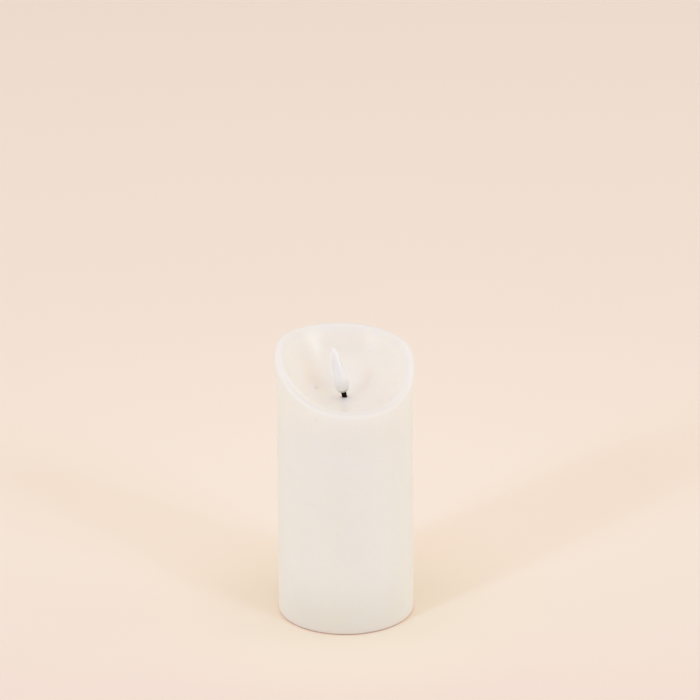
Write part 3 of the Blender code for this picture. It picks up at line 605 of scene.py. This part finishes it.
def fine_profile(points, count):
    """The same profile with smooth in-between points, its end on the axis kept there."""
    made = []
    for k in range(count):
        t = k / (count - 1)
        made.append((max(0.0, spline([p[0] for p in points], t)), spline([p[1] for p in points], t)))
    if points[0][0] == 0.0:
        made[0] = points[0]
    if points[-1][0] == 0.0:
        made[-1] = points[-1]
    return made


def make_flame():
    profile = fine_profile(FLAME_OUTSIDE, 66) + fine_profile(FLAME_INSIDE, 30)
    obj = turned("flame", profile, 64)
    # Painted shade: the flame greyer towards its foot and much darker in its lowest 2 mm, where its underside faces
    # down over the dark wick.
    attribute(obj, "painted_foot_shade", [0.17 * ease((10.0 - v.co.z / MM) / 9.0) + 0.5 * ease((2.2 - v.co.z / MM) / 2.2) for v in obj.data.vertices])
    obj.data.transform(FLAME_PLACE)
    smooth(obj, 50)
    obj.data.materials.append(FLAME)
    obj.visible_shadow = False       # thin frosted plastic: the keys shine through it
    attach(obj, "candle")
    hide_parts("flame_cap")


make_flame()

# =============================================================== floor, with painted light and shade, and lamps
floor_paint = Paint("paper_floor", Roughness=0.85)
floor_paint.shader.inputs["Specular IOR Level"].default_value = 0.15
paper = floor_paint.ramp(floor_paint.noise(3.0, 2.0), (0.3, (0.935, 0.865, 0.747, 1.0)), (0.7, (0.945, 0.873, 0.755, 1.0)))
depth = floor_paint.add("ShaderNodeSeparateXYZ")
floor_paint.link(floor_paint.where, depth.inputs[0])
# Painted shade: the paper in front of the candle darker and pinker, toning down the light both keys throw there.
paper = floor_paint.mix(floor_paint.range(depth.outputs[1], -0.02, -0.16, 0.0, 1.0), paper, (0.905, 0.790, 0.690, 1.0))
paper = floor_paint.mix(floor_paint.range(depth.outputs[1], 0.25, 1.1, 0.0, 1.0), paper, (0.940, 0.880, 0.790, 1.0))


def paper_patch(place, stretch, inner, outer):
    """1 on the floor round this place, falling to 0, in metres."""
    mapping = floor_paint.add("ShaderNodeMapping")
    mapping.inputs["Location"].default_value = (-place[0] * stretch, -place[1], 0.0)
    mapping.inputs["Scale"].default_value = (stretch, 1.0, 1.0)
    floor_paint.link(floor_paint.where, mapping.inputs["Vector"])
    reach = floor_paint.add("ShaderNodeVectorMath", operation="LENGTH")
    floor_paint.link(mapping.outputs[0], reach.inputs[0])
    return floor_paint.range(reach.outputs["Value"], inner, outer, 1.0, 0.0)


# Painted light: a paler pool on the paper behind the candle, between its two cast shadows.
paper = floor_paint.mix(paper_patch((0.0, 0.21), 0.75, 0.02, 0.24), paper, (0.970, 0.903, 0.785, 1.0))
# Painted shade: a darker, pinker patch on the paper just in front of the candle.
paper = floor_paint.mix(paper_patch((0.0, -0.11), 0.8, 0.02, 0.11), paper, (0.905, 0.805, 0.705, 1.0))
# Painted light: a yellower ring on the paper round the candle, standing in for light bounced from the wax.
paper = floor_paint.mix(paper_patch((0.0, 0.0), 1.0, 0.04, 0.13), paper, (0.935, 0.862, 0.712, 1.0))
# Painted light: a thin orange ring where the wax meets the paper, so the contact gap reads brown rather than dark.
paper = floor_paint.mix(paper_patch((0.0, 0.0), 1.0, 0.0362, 0.0388), paper, (0.980, 0.820, 0.660, 1.0))
floor_paint.colour(paper)
floor_paint.bump(floor_paint.noise(900.0, 3.0), 0.02)
floor = object_from("floor", [(-6000, -6000, 0), (6000, -6000, 0), (6000, 6000, 0), (-6000, 6000, 0)], [(0, 1, 2, 3)])
floor.data.materials.append(floor_paint.material)


def softbox(name, azimuth, elevation, distance, width, height, power, colour, glossy):
    """An area light aimed at the candle, for shading or for gloss only; azimuth 0 is at the camera's side, positive to the right."""
    a, e = math.radians(azimuth), math.radians(elevation)
    way = Vector((math.sin(a) * math.cos(e), -math.cos(a) * math.cos(e), math.sin(e)))
    data = bpy.data.lights.new(name, "AREA")
    data.shape, data.size, data.size_y, data.energy, data.color = "RECTANGLE", width, height, power, colour
    light = bpy.data.objects.new(name, data)
    scene.collection.objects.link(light)
    light.location = Vector((0.0, 0.0, 0.08)) + way * distance
    light.rotation_mode = "QUATERNION"
    light.rotation_quaternion = (-way).to_track_quat("-Z", "Y")
    light.visible_glossy = glossy
    light.visible_diffuse = not glossy
    light.visible_camera = False


softbox("overhead", 0.0, 88.0, 2.4, 1.6, 1.6, 12.5, (1.0, 0.93, 0.93), False)
softbox("fill_right", 95.0, 20.0, 3.0, 1.8, 1.8, 10.0, (0.66, 0.95, 1.0), False)
softbox("fill_left", -95.0, 20.0, 3.0, 1.8, 1.8, 6.6, (0.85, 0.94, 1.0), False)
softbox("light_right", 45.0, 29.0, 3.0, 0.65, 0.8, 15.0, (0.40, 0.62, 1.0), False)
softbox("light_left", -43.0, 28.0, 3.0, 0.4, 0.8, 19.0, (0.33, 0.62, 1.0), False)
softbox("strip_right", 62.5, 8.5, 3.0, 0.36, 0.8, 24.0, (0.7, 0.82, 1.0), True)
softbox("strip_left", -52.0, 11.0, 3.0, 0.24, 0.8, 15.0, (0.7, 0.82, 1.0), True)
world = bpy.data.worlds.new("studio")
world.use_nodes = True
world.node_tree.nodes["Background"].inputs[0].default_value = (1.0, 0.822, 0.725, 1.0)
world.node_tree.nodes["Background"].inputs[1].default_value = 0.69
scene.world = world
